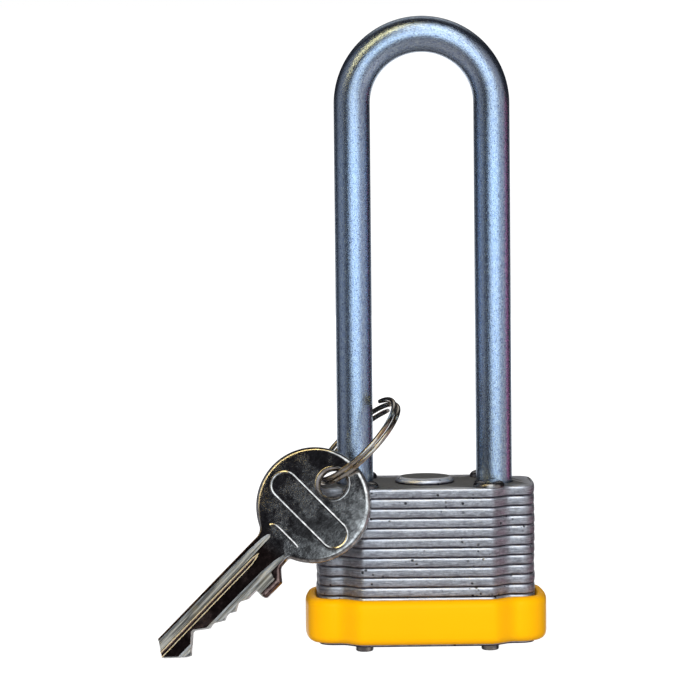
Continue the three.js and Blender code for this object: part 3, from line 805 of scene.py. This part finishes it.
def rivet(name, node):
    """A struck head on the top plate, its shank, and a short tail under the bottom plate."""
    low, high = box_mm(node)
    centre = ((low.x + high.x) / 2, (low.y + high.y) / 2)
    head = high.z - BODY_TOP
    dome = [(1.0, 0.0), (1.0, 0.16), (0.98, 0.36), (0.93, 0.56), (0.84, 0.76), (0.7, 0.91)]
    dome += [(0.5, 0.975), (0.26, 1.0)]
    tail = [(0.0, 0.0), (0.72, 0.0), (0.9, 0.09), (1.0, 0.3)]  # share of radius, height
    seat = BODY_TOP + HEAD_LIFT
    profile = [(RIVET_R * r, low.z + z) for r, z in tail]
    profile.append((RIVET_R, seat))
    profile += [(RIVET_HEAD_R * r, seat + (head - HEAD_LIFT) * z) for r, z in dome]
    profile.append((0.0, high.z))
    bm = lathe(profile, ROUND_SIDES, centre)
    finish_piece(name, bm, [PEENED], "body", node, sharp=40)


def cap_button():
    """The low round button in the middle of the top plate: a flat crown with a rolled rim."""
    low, high = box_mm("top_button")
    rise = high.z - BODY_TOP
    crown = [(0.985, 0.0), (1.0, 0.12), (1.0, 0.3), (0.99, 0.48), (0.965, 0.66), (0.92, 0.82)]
    crown += [(0.86, 0.93), (0.78, 0.985), (0.7, 1.0), (0.35, 0.99)]
    middle = 0.985
    seat = BODY_TOP + HEAD_LIFT
    profile = [(0.0, low.z), (BUTTON_SHANK_R, low.z), (BUTTON_SHANK_R, seat)]
    profile += [(BUTTON_R * r, seat + (rise - HEAD_LIFT) * z) for r, z in crown]
    profile.append((0.0, BODY_TOP + rise * middle))
    bm = lathe(profile, sides=72)
    finish_piece("cap_button", bm, [PLATE_STEEL], "body", "top_button", sharp=40)


# ---------------- shackle and ring


# Toe's rounded end as (height, inset), and half of the heel's neck as (height beyond the notch, radius)
TOE_ROUND = [(0.0, 0.6), (0.15, 0.3), (0.6, 0.0)]
NECK_MOUTH = [(0.35, LEG_R), (0.0, LEG_R - 0.3), (-0.02, NECK_R + 0.2), (-0.3, NECK_R)]
MM_PER_CM = 10


def label_bar(bm, rows, lengths, sides):
    """UVs for a swept bar: round the bar, and along it in centimetres."""
    layer = bm.loops.layers.uv.new("bar")
    place = {}
    for row, length in zip(rows, lengths):
        for i, vert in enumerate(row):
            place[vert] = (i / sides, length / MM_PER_CM)
    for face in bm.faces:
        wraps = {place[loop.vert][0] for loop in face.loops}
        over = max(wraps) - min(wraps) > 0.5
        for loop in face.loops:
            u, v = place[loop.vert]
            loop[layer].uv = (u + 1 if over and u < 0.5 else u, v)


def sweep(stations):
    """A capped bar through stations: (place, side, out, section of (side, out) offsets)."""
    bm = bmesh.new()
    rows = []
    lengths = []
    run = 0.0
    last = stations[0][0]
    for at, side, out, section in stations:
        run += (at - last).length
        last = at
        rows.append(add_ring(bm, [at + side * a + out * b for a, b in section]))
        lengths.append(run)
    for a, b in zip(rows, rows[1:]):
        join_rings(bm, a, b)
    bm.faces.new(list(reversed(rows[0])))
    bm.faces.new(rows[-1])
    bmesh.ops.recalc_face_normals(bm, faces=bm.faces[:])
    label_bar(bm, rows, lengths, len(rows[0]))
    return bm


def bar_stations():
    """(Place, outward direction, bar radius), from the toe's end over the bow to the heel's end."""
    leg_steps = 14
    first = TOE_END_Z + TOE_STRAIGHT
    toe = [(TOE_END_Z + rise, LEG_R - inset) for rise, inset in TOE_ROUND]
    toe += [(first + (BOW_Z - first) * i / leg_steps, LEG_R) for i in range(leg_steps)]
    stations = [(Vector((-LEG_X, 0, z)), Vector((-1, 0, 0)), radius) for z, radius in toe]
    bow_steps = 64
    for i in range(bow_steps + 1):
        a = math.pi * (1 - i / bow_steps)
        out = Vector((math.cos(a), 0, math.sin(a)))
        stations.append((Vector((0, 0, BOW_Z)) + out * LEG_X, out, LEG_R))
    neck_z = BALL_Z - LIFT
    leg_length = BOW_Z - HEEL_STRAIGHT_Z
    heel = [(BOW_Z - leg_length * i / leg_steps, LEG_R) for i in range(1, leg_steps + 1)]
    heel += [(neck_z + NOTCH_R + rise, radius) for rise, radius in NECK_MOUTH]
    heel += [(neck_z - NOTCH_R - rise, radius) for rise, radius in reversed(NECK_MOUTH)]
    heel += [(HEEL_END_Z + HEEL_CHAMFER, LEG_R), (HEEL_END_Z, LEG_R - HEEL_CHAMFER)]
    stations += [(Vector((LEG_X, 0, z)), Vector((1, 0, 0)), radius) for z, radius in heel]
    return stations


def shackle_bar():
    """The bent bar, with a ball notch inside each leg and the heel's neck."""
    side = Vector((0, 1, 0))
    bm = sweep([(at, side, out, circle(radius, sides=64)) for at, out, radius in bar_stations()])
    notches = []
    notch_reach = 5
    for leg in (-1, 1):
        tool = prism(circle(NOTCH_R, sides=40), -notch_reach, notch_reach)
        bmesh.ops.rotate(tool, matrix=Matrix.Rotation(math.pi / 2, 3, "X"), verts=tool.verts[:])
        bmesh.ops.translate(tool, vec=(leg * LOCKED_BALL_X, 0, BALL_Z), verts=tool.verts[:])
        notches.append(tool)
    bm = combine(bm, notches)
    finish_piece("shackle_bar", bm, [PLATED], "shackle", "shackle", sharp=40)


def rounded_section(width, height, radius, corner_steps=4):
    """A rectangle with rounded corners as (side, out) offsets, anticlockwise."""
    points = []
    for corner, (sx, sy) in enumerate(((1, 1), (-1, 1), (-1, -1), (1, -1))):
        centre = (sx * (width / 2 - radius), sy * (height / 2 - radius))
        start = math.pi / 2 * corner
        points += arc(centre, radius, start, start + math.pi / 2, corner_steps)
    return points


def key_ring():
    """Two turns of flat wire, leaning round the toe leg."""
    level = math.cos(RING_DIP)
    axis = Vector((level * math.cos(RING_TURN), level * math.sin(RING_TURN), -math.sin(RING_DIP)))
    raised = axis.cross(Vector((0, 1, 0))).normalized()
    other = axis.cross(raised)
    steps = 300
    end_round = 3
    stations = []
    for i in range(steps + 1):
        t = i / steps
        a = RING_START + 2 * math.pi * RING_TURNS * t
        out = raised * math.cos(a) + other * math.sin(a)
        turns_in = RING_TURNS * t
        turns_left = RING_TURNS * (1 - t)
        spread = math.exp(-((turns_left / RING_SPREAD_TURNS) ** 2))
        spread -= math.exp(-((turns_in / RING_SPREAD_TURNS) ** 2))
        rise = RING_PITCH * RING_TURNS * (t - 0.5) + RING_SPREAD * spread
        at = RING_CENTRE + out * RING_R + axis * rise
        from_end = min(i, steps - i)
        trim = RING_END_TRIM * max(0.0, 1 - from_end / end_round)
        wide, thick = RING_WIRE_AXIAL - trim, RING_WIRE_RADIAL - trim
        stations.append((at, axis, out, rounded_section(wide, thick, RING_CORNER_R)))
    bm = sweep(stations)
    finish_piece("key_ring", bm, [RING_METAL], "ring", "split_ring", sharp=50)


# ---------------- key

BOW_EDGE_IN = 0.85
BOW_EDGE_DOWN = 0.55
BLADE_EDGE_IN = 0.16
BLADE_EDGE_DOWN = 0.16
NECK_Y = 3.35
STOP_Y = 5.6
STOP_START_X = 13.9
STOP_END_X = 17.7
BLANK_TIP_X = 38.2
TIP_X = 37.8
TIP_Y = -0.45
BLADE_XS = (20.0, 26.0, 32.0)
EASE_START_X = 8.2
EASE_LENGTH = 2.6
STOP_EASE = 0.8
STOP_SHARE = 0.9

# The frame's bead across the bow, the hole's raised rim and the bead at the neck
FRAME_CENTRE = (1.13, 0.25)
FRAME_HALF_WIDTH = 2.37
FRAME_HALF_LENGTH = 8.72
BEAD_WIDTH = 0.5
BEAD_HEIGHT = 0.2
BEAD_SINK = 0.2
RIM_R = 2.98
RIM_WIDTH = 0.44
RIM_HEIGHT = 0.12
BEAD_PROFILE = [(-0.5, 0.0), (-0.5, 0.55), (-0.36, 0.86), (0.0, 1.0), (0.36, 0.86), (0.5, 0.55), (0.5, 0.0)]
NECK_BEAD = [(7.85, -2.95), (7.5, -2.72), (7.25, -2.35), (7.14, -1.8), (7.1, -1.0), (7.1, 0.0)]
NECK_BEAD += [(7.1, 1.2), (7.1, 2.4), (7.14, 3.1), (7.25, 3.45)]

# The hole's edge as (out from the hole, up from the face), and how deep each groove is
EYE_EDGE = [(0.62, 0.3), (0.55, 0.0), (0.2, -0.22), (0.0, -0.6)]
BAND_DEPTH = 0.3
LIP_DEPTH = 0.12
NARROW_DEPTH = 0.55
STEP_DEPTH = 0.32
LOW_STEP_DEPTH = 0.5

# The cuts and the peaks after them, as (X, Y), and where the cutting starts and rounds the tip
CUT_START_X = 19.75
TIP_BACK_X = 35.9
CUT_FLAT = 0.5
CUTS = [(21.35, 2.48), (24.25, 2.5), (27.3, 1.79), (30.65, 0.2)]
PEAKS = [(22.85, 3.18), (25.35, 2.88), (28.15, 1.97)]
LAST_PEAKS = [(33.9, 2.95), (34.75, 2.5)]


def blank_outline():
    """The key before cutting, anticlockwise from the neck's stop side: bow, fillets, blade and stop."""
    back_r = 2.0
    back_y = KEY_BACK_Y - back_r
    back_x = math.sqrt((BOW_R + back_r) ** 2 - back_y**2)
    back_angle = math.atan2(back_y, back_x)
    front_r = 1.2
    front_y = NECK_Y + front_r
    front_x = math.sqrt((BOW_R + front_r) ** 2 - front_y**2)
    front_angle = math.atan2(front_y, front_x)
    points = arc((0, 0), BOW_R, front_angle, 2 * math.pi + back_angle, 150)
    points += arc((back_x, back_y), back_r, math.pi + back_angle, math.pi / 2, 12)[1:]
    points += [(x, KEY_BACK_Y) for x in (13.0, 16.0, *BLADE_XS, BLANK_TIP_X)]
    points += [(x, KEY_TOP_Y) for x in (BLANK_TIP_X, *reversed(BLADE_XS))]
    inner_r = 0.25
    outer_r = 0.65
    points += arc((STOP_END_X + inner_r, KEY_TOP_Y + inner_r), inner_r, -math.pi / 2, -math.pi, 4)
    points += arc((STOP_END_X - outer_r, STOP_Y - outer_r), outer_r, 0.0, math.pi / 2, 6)
    slope = math.pi * 0.73
    points += arc((STOP_START_X, STOP_Y - outer_r), outer_r, math.pi / 2, slope, 4)
    # Two points ease the stop's slope into the neck
    points += [(12.05, NECK_Y + 0.35), (11.6, NECK_Y + 0.08)]
    points += arc((front_x, front_y), front_r, -math.pi / 2, front_angle - math.pi, 8)
    return points


def edge_ease(x, y):
    """0 on the bow, 1 along the blade: how sharp the blank's edge is at a point of its outline."""
    toward_blade = min(max((x - EASE_START_X) / EASE_LENGTH, 0.0), 1.0)
    on_stop = min(max((y - NECK_Y) / STOP_EASE, 0.0), 1.0) if x < STOP_END_X else 0.0
    return toward_blade * toward_blade * (3 - 2 * toward_blade) * (1 - STOP_SHARE * on_stop)


def key_blank():
    """The stamped blank: the bow's edges are widely rounded and the blade's hardly at all."""
    outline = blank_outline()
    levels = 6
    shares = [math.pi / 2 * i / levels for i in range(levels + 1)]
    rings = []
    for side in (-1, 1):
        for a in shares if side > 0 else reversed(shares):
            ring = []
            for i, (x, y) in enumerate(outline):
                ease = edge_ease(x, y)
                inset = (BOW_EDGE_IN + (BLADE_EDGE_IN - BOW_EDGE_IN) * ease) * (1 - math.cos(a))
                drop = (BOW_EDGE_DOWN + (BLADE_EDGE_DOWN - BOW_EDGE_DOWN) * ease) * (1 - math.sin(a))
                ax, ay = outline[i - 1]
                bx, by = outline[(i + 1) % len(outline)]
                inward = Vector((ay - by, bx - ax)).normalized() * inset
                ring.append((x + inward.x, y + inward.y, side * (KEY_HALF_THICK - drop)))
            rings.append(ring)
    return loft(rings)


def ridge(path, width, height, closed):
    """A low rounded bead standing on the key's front face, along a plan path."""
    base = KEY_HALF_THICK - BEAD_SINK
    rise = BEAD_SINK + height
    rings = []
    count = len(path)
    for i, (x, y) in enumerate(path):
        before = path[i - 1] if closed or i else path[i]
        after = path[(i + 1) % count] if closed or i < count - 1 else path[i]
        normal = Vector((after[1] - before[1], before[0] - after[0])).normalized()
        ring = []
        for side, up in BEAD_PROFILE:
            ring.append((x + normal.x * side * width, y + normal.y * side * width, base + rise * up))
        rings.append(ring)
    return loft(rings, closed=closed)


def stadium(centre, half_width, half_length):
    """A slot-shaped path whose long axis runs across the key."""
    x, y = centre
    straight = half_length - half_width
    points = arc((x, y + straight), half_width, 0, math.pi, 20)
    points += arc((x, y - straight), half_width, math.pi, 2 * math.pi, 20)
    return points


def key_features():
    """What stands up from the front face: the frame across the bow, the hole's rim and the neck's bead."""
    frame_path = stadium(FRAME_CENTRE, FRAME_HALF_WIDTH, FRAME_HALF_LENGTH)
    frame_bead = ridge(frame_path, BEAD_WIDTH, BEAD_HEIGHT, closed=True)
    rim_path = circle(RIM_R, sides=64, x=KEY_HOLE_X)
    rim_bead = ridge(rim_path, RIM_WIDTH, RIM_HEIGHT, closed=True)
    neck_bead = ridge(NECK_BEAD, BEAD_WIDTH, BEAD_HEIGHT, closed=False)
    return [frame_bead, rim_bead, neck_bead]


def key_tools():
    """Cutters: (tool, material number of the faces it leaves)."""
    top = KEY_HALF_THICK
    past = top + EYE_EDGE[0][1]
    hole = [(0.0, -past)]
    hole += [(KEY_HOLE_R + out, -top - rise) for out, rise in EYE_EDGE]
    hole += [(KEY_HOLE_R + out, top + rise) for out, rise in reversed(EYE_EDGE)]
    hole += [(0.0, past)]
    eye = lathe(hole, sides=64, centre=(KEY_HOLE_X, 0.0))
    far = BLANK_TIP_X + 1
    clear = 9.0
    over = top + 1
    # The wide shallow groove by the back, with a rounded start at the neck
    back_band = [(8.9, -1.75), (9.25, -2.12), (10.5, -2.38), (14.3, -2.62), (far, -2.9)]
    back_band += [(far, -1.3), (14.3, -1.3), (9.3, -1.42)]
    # The narrow groove beside it, with a burnished lip on either side
    lips = [(12.6, -0.9), (13.9, -1.16), (far, -1.22), (far, -0.26), (14.9, -0.28), (13.4, -0.55)]
    narrow = [(13.4, -0.86), (14.2, -0.96), (far, -1.0), (far, -0.48), (15.2, -0.48), (14.0, -0.66)]
    # The step down to the cuts, run out to a point beside the stop, with a second lower step
    outside = [(far, clear), (STOP_END_X + 0.1, clear), (STOP_END_X - 0.3, 4.45), (14.0, 4.45), (13.6, 3.12)]
    step = [(9.8, 2.5), (12.0, 2.05), (14.5, 1.8), (20.0, 1.7), (far, 1.66), *outside, (10.0, 3.0)]
    low_step = [(11.2, 2.66), (14.5, 2.5), (far, 2.46), *outside, (11.2, 3.04)]
    # One outline cuts the bitting and goes on round the tip
    bitting = [(CUT_START_X, clear), (CUT_START_X, KEY_TOP_Y)]
    for i, (x, y) in enumerate(CUTS):
        bitting += [(x - CUT_FLAT / 2, y), (x + CUT_FLAT / 2, y)]
        bitting += PEAKS[i : i + 1]
    bitting += [*LAST_PEAKS, (TIP_X, TIP_Y), (TIP_BACK_X, KEY_BACK_Y), (TIP_BACK_X, -clear)]
    bitting += [(far, -clear), (far, clear)]
    plain, milled, lip = range(len(KEY_MATERIALS))
    return [
        (eye, plain),
        (prism(back_band, top - BAND_DEPTH, over), milled),
        (prism(lips, top - LIP_DEPTH, over), lip),
        (prism(narrow, top - NARROW_DEPTH, over), plain),
        (prism(step, top - STEP_DEPTH, over), milled),
        (prism(low_step, top - LOW_STEP_DEPTH, over), milled),
        (prism(back_band, -over, BAND_DEPTH - top), milled),
        (prism(step, -over, STEP_DEPTH - top), milled),
        (prism(bitting, -over, over), milled),
    ]


def key_matrix():
    """Where the key hangs: its hole's axis comes from the joint it swings on."""
    joint = RECORD_JOINTS["key_swing"]
    facing = Vector(joint["axis"]).normalized()
    level = math.cos(KEY_PITCH)
    along = Vector((-math.cos(KEY_HANG) * level, math.sin(KEY_PITCH), -math.sin(KEY_HANG) * level))
    along = (along - facing * along.dot(facing)).normalized()
    across = facing.cross(along)
    turn = Matrix((along, across, facing)).transposed().to_4x4()
    return Matrix.Translation(Vector(joint["pos_m"])) @ turn


def cut_key():
    bm = combine(key_blank(), key_features(), "UNION")
    for tool, number in key_tools():
        bm = combine(bm, [tool], cut_face=number)
    # Two cutters share a wall, which leaves pinholes
    gaps = [edge for edge in bm.edges if edge.is_boundary]
    bmesh.ops.holes_fill(bm, edges=gaps, sides=4)
    bmesh.ops.translate(bm, vec=(-KEY_HOLE_X, 0, 0), verts=bm.verts[:])
    place = key_matrix()
    finish_piece("cut_key", bm, KEY_MATERIALS, "key", "key", sharp=34, matrix=place)


# ---------------- pieces kept from the CAD


def dress_inner_pieces():
    """The pieces inside the body keep their CAD shape and take a full material."""
    finishes = {"brass": BRASS, "hard_steel": HARD, "spring_steel": SPRING}
    for node, shown in frame["nodes"].items():
        if shown.hide_render:
            continue
        for place in shown.material_slots:
            place.material = finishes[place.material.name]


# ---------------- stage, light and camera


FLOOR_GAP = 0.4
FLOOR_REACH = 9000
FLOOR_GLOW = 0.45
FLOOR_CAMERA_GLOW = 0.85
FLOOR_GLOW_SHARE = 0.8
MATT_LEVEL = 0.3


def pale_floor():
    """A large plain floor, clear from below. Polished pieces look past it to the studio."""
    low = min(box_mm("key")[0].z, box_mm("rivet_front_left")[0].z) - FLOOR_GAP
    bm = bmesh.new()
    corners = rectangle(-FLOOR_REACH, FLOOR_REACH, -FLOOR_REACH, FLOOR_REACH)
    bm.faces.new([bm.verts.new((x, y, low)) for x, y in corners])
    data = mesh_in_metres(bm, "pale_floor")
    t = Tree(bpy.data.materials.new("pale_floor"))
    paint = t.node("ShaderNodeBsdfDiffuse", {"Color": rgb(0.9, 0.9, 0.9)})
    camera = t.node("ShaderNodeLightPath", {}, output="Is Camera Ray")
    strength = t.times_plus(camera, FLOOR_CAMERA_GLOW, FLOOR_GLOW)
    glow = t.node("ShaderNodeEmission", {"Color": rgb(1, 1, 1), "Strength": strength})
    lit = t.node("ShaderNodeMixShader", {0: FLOOR_GLOW_SHARE, 1: paint, 2: glow})
    glossy = t.node("ShaderNodeLightPath", {}, output="Is Glossy Ray")
    below = t.node("ShaderNodeNewGeometry", {}, output="Backfacing")
    clear = t.node("ShaderNodeBsdfTransparent", {})
    both = t.node("ShaderNodeMixShader", {0: t.math("MAXIMUM", glossy, below), 1: lit, 2: clear})
    t.show(both)
    data.materials.append(t.owner)
    add_object("pale_floor", data)


def toward(azimuth, elevation):
    """A direction seen from the lock: azimuth 0 is the front, positive to the right."""
    a = math.radians(azimuth)
    e = math.radians(elevation)
    return Vector((math.sin(a) * math.cos(e), -math.cos(a) * math.cos(e), math.sin(e)))


def rolled(right, up, degrees):
    """Two axes of a view turned in its plane."""
    turn = math.radians(degrees)
    across = right * math.cos(turn) + up * math.sin(turn)
    return across, up * math.cos(turn) - right * math.sin(turn)


# Soft boxes of the studio as (azimuth, elevation, half width, half height, roll, softness,
# colour, strength); angles in degrees.
SOFT_BOXES = [
    (10, 6, 28, 14.5, 0, 0.36, (0.8, 0.9, 1.0), 2.0),
    (10, -27, 40, 14, 0, 0.6, (1.0, 0.94, 0.94), 0.22),
    (14, 44, 18, 22, 0, 0.4, (0.88, 0.94, 1.0), 2.4),
    (-46, 46, 26, 3.6, 112, 0.6, (1.0, 0.78, 0.36), 6.5),
    (100, -12, 5, 8, 0, 0.4, (1.0, 0.2, 0.46), 1.7),
    (62, 0, 24, 40, 0, 0.6, (0.95, 0.9, 0.95), 0.5),
    (-80, 5, 26, 40, 0, 0.6, (0.88, 0.9, 1.0), 0.3),
    (0, -75, 60, 40, 0, 0.5, (1.0, 0.93, 0.92), 0.4),
    (180, -19, 34, 13, 0, 0.4, (0.97, 0.98, 1.0), 1.4),
    (180, 42, 24, 14, 0, 0.5, (1.0, 0.98, 0.95), 0.6),
]
STUDIO_DARK = (0.024, 0.024, 0.03)


def soft_box(t, direction, azimuth, elevation, half_width, half_height, roll, softness):
    """How much of a soft box a direction sees, 0 to 1."""
    centre = toward(azimuth, elevation)
    side = centre.cross(Vector((0, 0, 1))).normalized()
    across, up = rolled(side, side.cross(centre), roll)
    ahead = t.vector("DOT_PRODUCT", direction, tuple(centre))
    front = t.math("MAXIMUM", ahead, 0.001)
    seen = t.step(ahead, 0.0, 0.05)
    for axis, half in ((across, half_width), (up, half_height)):
        limit = math.tan(math.radians(half))
        offset = t.math("DIVIDE", t.vector("DOT_PRODUCT", direction, tuple(axis)), front)
        offset = t.math("ABSOLUTE", offset)
        fade = t.step(offset, limit * (1 - softness), limit * (1 + softness))
        seen = t.times(seen, t.rest(fade))
    return seen


def studio_world():
    """White to the camera, even to matt surfaces, and a dark room with soft boxes to polished ones."""
    world = bpy.data.worlds.new("studio")
    bpy.context.scene.world = world
    t = Tree(world)
    direction = t.node("ShaderNodeTexCoord", {}, output="Generated")
    total = t.node("ShaderNodeRGB", {})
    total.default_value = (*STUDIO_DARK, 1.0)
    for azimuth, elevation, width, height, roll, softness, colour, strength in SOFT_BOXES:
        seen = soft_box(t, direction, azimuth, elevation, width, height, roll, softness)
        tinted = t.vector("SCALE", tuple(c * strength for c in colour))
        t.tree.links.new(seen, tinted.node.inputs["Scale"])
        total = t.vector("ADD", total, tinted)
    polished = t.node("ShaderNodeBackground", {"Color": total, "Strength": 1.0})
    matt = t.node("ShaderNodeBackground", {"Color": rgb(0.98, 0.98, 1.0), "Strength": MATT_LEVEL})
    white = t.node("ShaderNodeBackground", {"Color": rgb(1, 1, 1), "Strength": 1.0})
    glossy = t.node("ShaderNodeLightPath", {}, output="Is Glossy Ray")
    camera = t.node("ShaderNodeLightPath", {}, output="Is Camera Ray")
    both = t.node("ShaderNodeMixShader", {0: glossy, 1: matt, 2: polished})
    final = t.node("ShaderNodeMixShader", {0: camera, 1: both, 2: white})
    t.show(final, "ShaderNodeOutputWorld")


def area_light(name, azimuth, elevation, distance, size, power, colour):
    """A soft area light aimed at the lock; polished pieces see the studio's soft boxes instead."""
    data = bpy.data.lights.new(name, "AREA")
    data.shape = "RECTANGLE"
    data.size = size
    data.size_y = size
    data.energy = power
    data.color = colour
    made = add_object(name, data)
    aim = (cad_low + cad_high) / 2
    away = toward(azimuth, elevation)
    made.location = aim + away * distance
    made.rotation_mode = "QUATERNION"
    made.rotation_quaternion = (-away).to_track_quat("-Z", "Y")
    made.visible_glossy = False
    made.visible_camera = False


# Lamps as (name, azimuth, elevation, metres away, size in metres, watts, colour)
LAMPS = [
    ("key_light", -16, 24, 0.6, 0.4, 2.3, (1.0, 0.99, 0.97)),
    ("fill_light", 12, 12, 0.7, 0.4, 2.4, (0.97, 0.98, 1.0)),
    ("back_light", 175, 14, 0.7, 0.45, 3.0, (1.0, 1.0, 1.0)),
]


# The camera, as a telephoto lens aimed near the middle of the lock and key
CAMERA_DISTANCE = 802.1
CAMERA_AZIMUTH = -0.770
CAMERA_ELEVATION = 5.096
CAMERA_ROLL = -0.575
CAMERA_LENS = 232.36
CAMERA_AIM = Vector((-13.07, 0.0, 51.68))


def photo_camera():
    data = bpy.data.cameras.new("camera")
    data.sensor_width = 36
    data.lens = CAMERA_LENS
    data.clip_end = 100
    camera = add_object("camera", data)
    back = toward(CAMERA_AZIMUTH, CAMERA_ELEVATION)
    level = Vector((0, 0, 1)).cross(back).normalized()
    right, up = rolled(level, back.cross(level), CAMERA_ROLL)
    turn = Matrix((right, up, back)).transposed().to_4x4()
    camera.matrix_world = Matrix.Translation((CAMERA_AIM + back * CAMERA_DISTANCE) * MM) @ turn
    bpy.context.scene.camera = camera


# ---------------- the lock

laminates()
vinyl_bumper()
for place in ("front_left", "front_right", "back_left", "back_right"):
    rivet(f"struck_rivet_{place}", f"rivet_{place}")
cap_button()
shackle_bar()
key_ring()
cut_key()
dress_inner_pieces()
pale_floor()
studio_world()
for lamp in LAMPS:
    area_light(*lamp)
photo_camera()

bpy.context.scene.view_settings.view_transform = "Standard"
